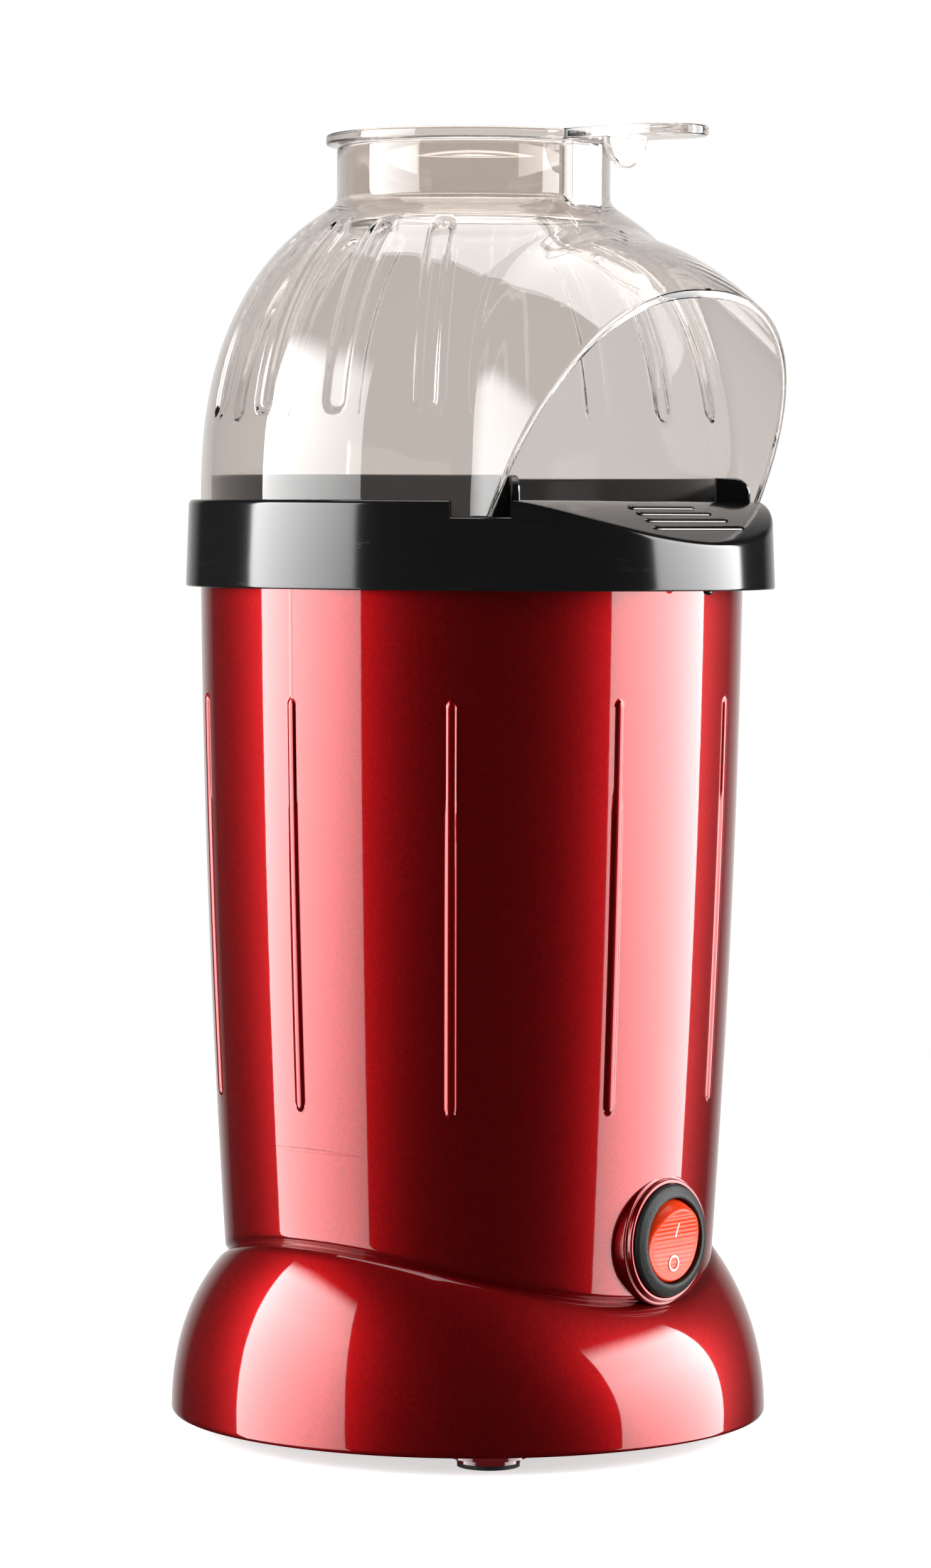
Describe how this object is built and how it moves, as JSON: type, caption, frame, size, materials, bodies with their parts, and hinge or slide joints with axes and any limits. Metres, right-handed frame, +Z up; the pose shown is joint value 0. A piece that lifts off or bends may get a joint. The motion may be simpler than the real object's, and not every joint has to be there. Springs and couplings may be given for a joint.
{
  "type": "hot-air popcorn maker",
  "caption": "Upright hot-air popcorn maker: red flared housing, black collar, clear domed cover with a spout hood and a clear measuring cup plugging its neck.",
  "frame": {"origin": "on the housing's upright axis, at the level of the table under the rubber feet", "axes": "+Z up, the spout, the cup's tab and the switch face -Y, +X is the machine's right-hand side as its front is faced from behind it"},
  "size_m": [0.1242, 0.1306, 0.2688],
  "materials": {
    "red_paint": "metallic red lacquer over moulded ABS",
    "dark_red_plastic": "dark red moulded ABS",
    "black_rubber": "soft moulded rubber",
    "zinc_steel": "zinc plated",
    "black_plastic": "gloss black moulded plastic",
    "grey_silicone": "moulded silicone",
    "chamber_aluminium": "spun, satin",
    "sheet_steel": "galvanised sheet",
    "rivet_aluminium": "bright",
    "mica_board": "pressed mica",
    "resistance_wire": "oxidised nickel chrome",
    "thermostat_body": "phenolic with steel cap",
    "fuse_metal": "tinned",
    "heatproof_plastic": "glass filled heatproof plastic",
    "fan_aluminium": "pressed sheet",
    "white_nylon": "moulded nylon",
    "sintered_bronze": "sintered",
    "ferrite": "ground ferrite",
    "laminated_steel": "laminated",
    "copper": "turned copper",
    "shaft_steel": "ground",
    "carbon": "pressed carbon",
    "circuit_board": "paper laminate",
    "diode_body": "moulded epoxy",
    "brass_tab": "tinned brass blades",
    "red_translucent": "translucent red, fine ribs",
    "lamp_glass": "clear",
    "clear_plastic": "clear moulded polycarbonate"
  },
  "bodies": {
    "housing": {"body_shell": "red_paint", "base_plate": "dark_red_plastic", "rubber_foot_front_left": "black_rubber", "rubber_foot_front_right": "black_rubber", "rubber_foot_back_left": "black_rubber", "rubber_foot_back_right": "black_rubber", "base_screws": "zinc_steel", "collar": "black_plastic", "chamber_seal": "grey_silicone", "popping_chamber": "chamber_aluminium", "chamber_screws": "zinc_steel", "heat_sleeve": "sheet_steel", "sleeve_rivets": "rivet_aluminium", "mica_plate_across": "mica_board", "mica_plate_along": "mica_board", "heater_coil": "resistance_wire", "thermostat": "thermostat_body", "thermostat_bracket": "sheet_steel", "thermal_fuse": "fuse_metal", "fuse_clip": "sheet_steel", "fan_housing": "heatproof_plastic", "motor_bracket": "sheet_steel", "motor_can": "zinc_steel", "motor_end_cap": "white_nylon", "upper_bush": "sintered_bronze", "lower_bush": "sintered_bronze", "motor_magnets": "ferrite", "motor_brushes": "carbon", "motor_screws": "zinc_steel", "rectifier_board": "circuit_board", "rectifier_diodes": "diode_body", "motor_terminals": "brass_tab", "switch_housing": "black_plastic", "switch_lamp": "lamp_glass", "switch_terminals": "brass_tab", "cord_gland": "black_rubber", "cord_clamp": "black_plastic", "clamp_screws": "zinc_steel"},
    "fan": {"fan_impeller": "fan_aluminium", "motor_shaft": "shaft_steel", "armature": "laminated_steel", "commutator": "copper"},
    "rocker": {"switch_rocker": "red_translucent"},
    "cover": {"dome_cover": "clear_plastic"},
    "cup": {"measuring_cup": "clear_plastic"}
  },
  "joints": [
    {"name": "cover_lift", "type": "slide", "parent": "housing", "child": "cover", "axis": [0, 0, 1], "range_m": [0, 0.12]},
    {"name": "cup_lift", "type": "slide", "parent": "cover", "child": "cup", "axis": [0, 0, 1], "range_m": [0, 0.06]},
    {"name": "switch_rock", "type": "hinge", "parent": "housing", "child": "rocker", "pos_m": [0, -0.0505, 0.0436], "axis": [-1, 0, 0], "range_deg": [0, 20]},
    {"name": "fan_spin", "type": "hinge", "parent": "housing", "child": "fan", "pos_m": [0, 0, 0.07], "axis": [0, 0, 1], "continuous": true}
  ]
}
